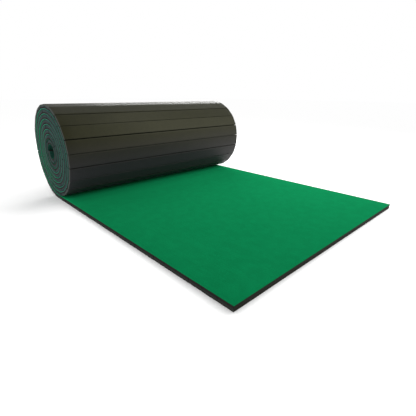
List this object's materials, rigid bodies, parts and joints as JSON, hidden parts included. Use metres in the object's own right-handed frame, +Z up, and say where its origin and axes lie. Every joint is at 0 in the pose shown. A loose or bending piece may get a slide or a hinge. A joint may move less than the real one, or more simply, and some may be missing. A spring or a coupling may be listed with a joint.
{
  "type": "roll-out gym mat",
  "caption": "Carpet-topped foam gym mat, slit into planks under the carpet; most of it stands rolled up and the free end lies flat on the floor.",
  "frame": {"origin": "on the floor, under the middle of the foam slat that the roll stands on, at half the mat's width", "axes": "+X along the mat to its free end, +Y across the mat, +Z up out of the carpet"},
  "size_m": [2.3751, 1.829, 0.7623],
  "materials": {
    "foam": "satin",
    "carpet": "matte"
  },
  "bodies": {
    "rolled_up": {"foam_contact_slat": "foam", "carpet_contact_strip": "carpet", "foam_roll_slat_01": "foam", "carpet_roll_strip_01": "carpet", "foam_roll_slat_02": "foam", "carpet_roll_strip_02": "carpet", "foam_roll_slat_03": "foam", "carpet_roll_strip_03": "carpet", "foam_roll_slat_04": "foam", "carpet_roll_strip_04": "carpet", "foam_roll_slat_05": "foam", "carpet_roll_strip_05": "carpet", "foam_roll_slat_06": "foam", "carpet_roll_strip_06": "carpet", "foam_roll_slat_07": "foam", "carpet_roll_strip_07": "carpet", "core_foam": "foam", "core_carpet": "carpet"},
    "tail_01": {"foam_tail_slat_01": "foam", "carpet_tail_strip_01": "carpet"},
    "tail_02": {"foam_tail_slat_02": "foam", "carpet_tail_strip_02": "carpet"},
    "tail_03": {"foam_tail_slat_03": "foam", "carpet_tail_strip_03": "carpet"},
    "tail_04": {"foam_tail_slat_04": "foam", "carpet_tail_strip_04": "carpet"},
    "tail_05": {"foam_tail_slat_05": "foam", "carpet_tail_strip_05": "carpet"},
    "tail_06": {"foam_tail_slat_06": "foam", "carpet_tail_strip_06": "carpet"},
    "tail_07": {"foam_tail_slat_07": "foam", "carpet_tail_strip_07": "carpet"},
    "tail_08": {"foam_tail_slat_08": "foam", "carpet_tail_strip_08": "carpet"},
    "tail_09": {"foam_tail_slat_09": "foam", "carpet_tail_strip_09": "carpet"},
    "tail_10": {"foam_tail_slat_10": "foam", "carpet_tail_strip_10": "carpet"},
    "tail_11": {"foam_tail_slat_11": "foam", "carpet_tail_strip_11": "carpet"},
    "tail_12": {"foam_tail_slat_12": "foam", "carpet_tail_strip_12": "carpet"},
    "tail_13": {"foam_tail_slat_13": "foam", "carpet_tail_strip_13": "carpet"},
    "tail_14": {"foam_tail_slat_14": "foam", "carpet_tail_strip_14": "carpet"},
    "tail_15": {"foam_tail_slat_15": "foam", "carpet_tail_strip_15": "carpet"},
    "tail_16": {"foam_tail_slat_16": "foam", "carpet_tail_strip_16": "carpet"},
    "tail_17": {"foam_tail_slat_17": "foam", "carpet_tail_strip_17": "carpet"},
    "tail_18": {"foam_tail_slat_18": "foam", "carpet_tail_strip_18": "carpet"},
    "tail_19": {"foam_tail_slat_19": "foam", "carpet_tail_strip_19": "carpet"},
    "tail_20": {"foam_tail_slat_20": "foam", "carpet_tail_strip_20": "carpet"}
  },
  "joints": [
    {"name": "roll_up", "type": "hinge", "parent": "rolled_up", "child": "tail_01", "pos_m": [0.0484, 0, 0.035], "axis": [0, -1, 0], "range_deg": [0, 12.04]},
    {"name": "tail_hinge_02", "type": "hinge", "parent": "tail_01", "child": "tail_02", "pos_m": [0.1452, 0, 0.035], "axis": [0, -1, 0], "range_deg": [0, 18.73]},
    {"name": "tail_hinge_03", "type": "hinge", "parent": "tail_02", "child": "tail_03", "pos_m": [0.242, 0, 0.035], "axis": [0, -1, 0], "range_deg": [0, 15.19]},
    {"name": "tail_hinge_04", "type": "hinge", "parent": "tail_03", "child": "tail_04", "pos_m": [0.3388, 0, 0.035], "axis": [0, -1, 0], "range_deg": [0, 15.11]},
    {"name": "tail_hinge_05", "type": "hinge", "parent": "tail_04", "child": "tail_05", "pos_m": [0.4356, 0, 0.035], "axis": [0, -1, 0], "range_deg": [0, 15.04]},
    {"name": "tail_hinge_06", "type": "hinge", "parent": "tail_05", "child": "tail_06", "pos_m": [0.5324, 0, 0.035], "axis": [0, -1, 0], "range_deg": [0, 14.96]},
    {"name": "tail_hinge_07", "type": "hinge", "parent": "tail_06", "child": "tail_07", "pos_m": [0.6292, 0, 0.035], "axis": [0, -1, 0], "range_deg": [0, 14.89]},
    {"name": "tail_hinge_08", "type": "hinge", "parent": "tail_07", "child": "tail_08", "pos_m": [0.726, 0, 0.035], "axis": [0, -1, 0], "range_deg": [0, 14.82]},
    {"name": "tail_hinge_09", "type": "hinge", "parent": "tail_08", "child": "tail_09", "pos_m": [0.8228, 0, 0.035], "axis": [0, -1, 0], "range_deg": [0, 14.75]},
    {"name": "tail_hinge_10", "type": "hinge", "parent": "tail_09", "child": "tail_10", "pos_m": [0.9196, 0, 0.035], "axis": [0, -1, 0], "range_deg": [0, 14.68]},
    {"name": "tail_hinge_11", "type": "hinge", "parent": "tail_10", "child": "tail_11", "pos_m": [1.0164, 0, 0.035], "axis": [0, -1, 0], "range_deg": [0, 14.62]},
    {"name": "tail_hinge_12", "type": "hinge", "parent": "tail_11", "child": "tail_12", "pos_m": [1.1132, 0, 0.035], "axis": [0, -1, 0], "range_deg": [0, 14.55]},
    {"name": "tail_hinge_13", "type": "hinge", "parent": "tail_12", "child": "tail_13", "pos_m": [1.21, 0, 0.035], "axis": [0, -1, 0], "range_deg": [0, 14.48]},
    {"name": "tail_hinge_14", "type": "hinge", "parent": "tail_13", "child": "tail_14", "pos_m": [1.3068, 0, 0.035], "axis": [0, -1, 0], "range_deg": [0, 14.42]},
    {"name": "tail_hinge_15", "type": "hinge", "parent": "tail_14", "child": "tail_15", "pos_m": [1.4036, 0, 0.035], "axis": [0, -1, 0], "range_deg": [0, 14.35]},
    {"name": "tail_hinge_16", "type": "hinge", "parent": "tail_15", "child": "tail_16", "pos_m": [1.5004, 0, 0.035], "axis": [0, -1, 0], "range_deg": [0, 14.29]},
    {"name": "tail_hinge_17", "type": "hinge", "parent": "tail_16", "child": "tail_17", "pos_m": [1.5972, 0, 0.035], "axis": [0, -1, 0], "range_deg": [0, 14.23]},
    {"name": "tail_hinge_18", "type": "hinge", "parent": "tail_17", "child": "tail_18", "pos_m": [1.694, 0, 0.035], "axis": [0, -1, 0], "range_deg": [0, 14.17]},
    {"name": "tail_hinge_19", "type": "hinge", "parent": "tail_18", "child": "tail_19", "pos_m": [1.7908, 0, 0.035], "axis": [0, -1, 0], "range_deg": [0, 14.1]},
    {"name": "tail_hinge_20", "type": "hinge", "parent": "tail_19", "child": "tail_20", "pos_m": [1.8876, 0, 0.035], "axis": [0, -1, 0], "range_deg": [0, 14.04]}
  ],
  "couplings": [
    {"joint": "tail_hinge_02", "follows": "roll_up", "ratio": 1.5561},
    {"joint": "tail_hinge_03", "follows": "roll_up", "ratio": 1.2616},
    {"joint": "tail_hinge_04", "follows": "roll_up", "ratio": 1.2554},
    {"joint": "tail_hinge_05", "follows": "roll_up", "ratio": 1.2493},
    {"joint": "tail_hinge_06", "follows": "roll_up", "ratio": 1.2432},
    {"joint": "tail_hinge_07", "follows": "roll_up", "ratio": 1.2372},
    {"joint": "tail_hinge_08", "follows": "roll_up", "ratio": 1.2313},
    {"joint": "tail_hinge_09", "follows": "roll_up", "ratio": 1.2255},
    {"joint": "tail_hinge_10", "follows": "roll_up", "ratio": 1.2198},
    {"joint": "tail_hinge_11", "follows": "roll_up", "ratio": 1.2142},
    {"joint": "tail_hinge_12", "follows": "roll_up", "ratio": 1.2086},
    {"joint": "tail_hinge_13", "follows": "roll_up", "ratio": 1.2031},
    {"joint": "tail_hinge_14", "follows": "roll_up", "ratio": 1.1977},
    {"joint": "tail_hinge_15", "follows": "roll_up", "ratio": 1.1924},
    {"joint": "tail_hinge_16", "follows": "roll_up", "ratio": 1.1871},
    {"joint": "tail_hinge_17", "follows": "roll_up", "ratio": 1.1819},
    {"joint": "tail_hinge_18", "follows": "roll_up", "ratio": 1.1768},
    {"joint": "tail_hinge_19", "follows": "roll_up", "ratio": 1.1717},
    {"joint": "tail_hinge_20", "follows": "roll_up", "ratio": 1.1667}
  ]
}
